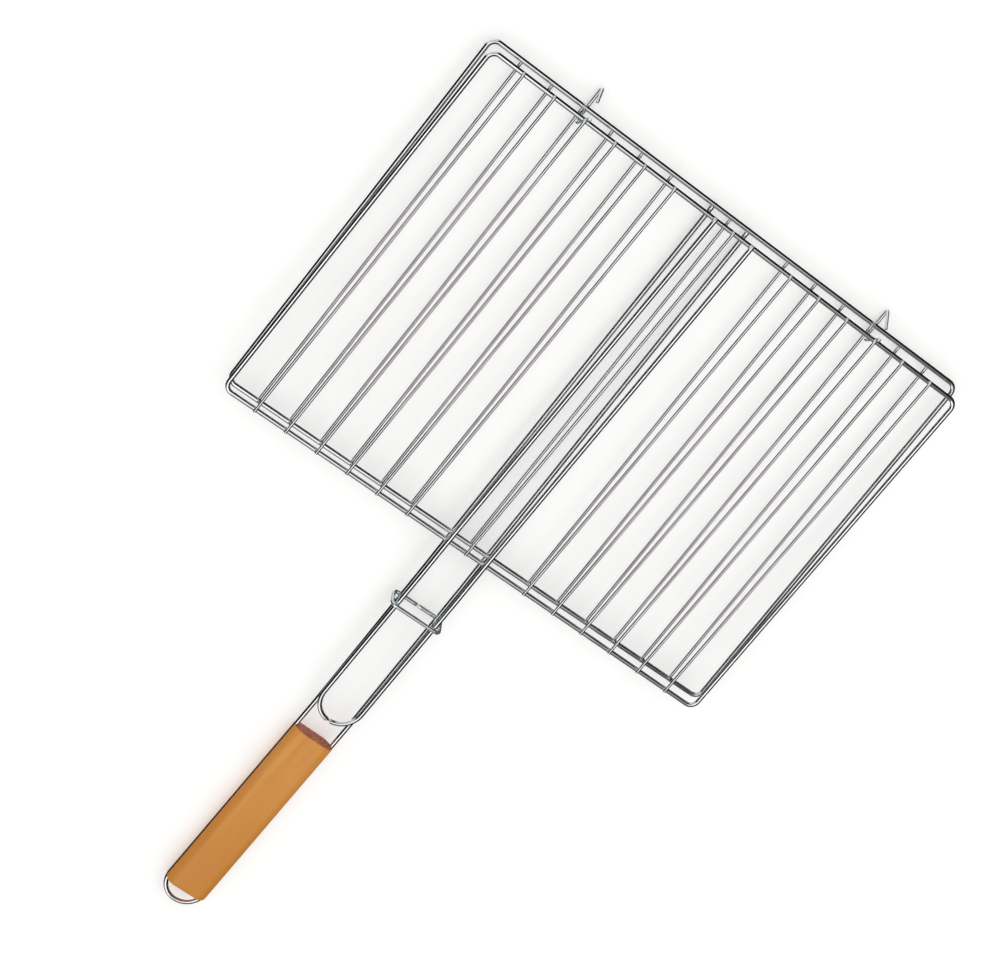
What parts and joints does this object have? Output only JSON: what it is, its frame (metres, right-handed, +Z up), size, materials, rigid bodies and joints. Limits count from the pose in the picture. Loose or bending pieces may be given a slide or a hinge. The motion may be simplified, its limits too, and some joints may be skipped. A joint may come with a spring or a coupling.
{
  "type": "grill basket",
  "caption": "Flat hinged wire basket with parallel bars, a long double wire handle, a sliding locking ring and a wooden grip with a hanging loop.",
  "frame": {"origin": "bottom centre of the closed basket's bounding box, lying flat on its grip and hinge hooks", "axes": "+Y from the grip towards the hinge side, +X across the basket, +Z up"},
  "size_m": [0.4038, 0.6154, 0.0258],
  "materials": {
    "chromed_wire": "bright chrome plate on steel wire",
    "zinc_wire": "bright zinc plate on steel wire",
    "grip_wood": "smooth clear-varnished hardwood"
  },
  "bodies": {
    "lower_frame": {"lower_rim": "chromed_wire", "lower_bar_01": "chromed_wire", "lower_bar_02": "chromed_wire", "lower_bar_03": "chromed_wire", "lower_bar_04": "chromed_wire", "lower_bar_05": "chromed_wire", "lower_bar_06": "chromed_wire", "lower_bar_07": "chromed_wire", "lower_bar_08": "chromed_wire", "lower_bar_09": "chromed_wire", "lower_bar_10": "chromed_wire", "lower_bar_11": "chromed_wire", "lower_bar_12": "chromed_wire", "lower_bar_13": "chromed_wire", "lower_handle_wire": "chromed_wire", "wooden_grip": "grip_wood"},
    "upper_frame": {"upper_rim": "chromed_wire", "upper_bar_01": "chromed_wire", "upper_bar_02": "chromed_wire", "upper_bar_03": "chromed_wire", "upper_bar_04": "chromed_wire", "upper_bar_05": "chromed_wire", "upper_bar_06": "chromed_wire", "upper_bar_07": "chromed_wire", "upper_bar_08": "chromed_wire", "upper_bar_09": "chromed_wire", "upper_bar_10": "chromed_wire", "upper_bar_11": "chromed_wire", "upper_bar_12": "chromed_wire", "upper_bar_13": "chromed_wire", "upper_handle_wire": "chromed_wire", "hinge_hook_left": "zinc_wire", "hinge_hook_right": "zinc_wire"},
    "locking_ring": {"locking_ring": "zinc_wire"}
  },
  "joints": [
    {"name": "upper_frame_hinge", "type": "hinge", "parent": "lower_frame", "child": "upper_frame", "pos_m": [-0.00025, 0.29171, 0.006], "axis": [-1, -0.0029, 0], "range_deg": [0, 175]},
    {"name": "ring_slide", "type": "slide", "parent": "lower_frame", "child": "locking_ring", "axis": [0, -1, 0], "range_m": [0, 0.1048]}
  ]
}
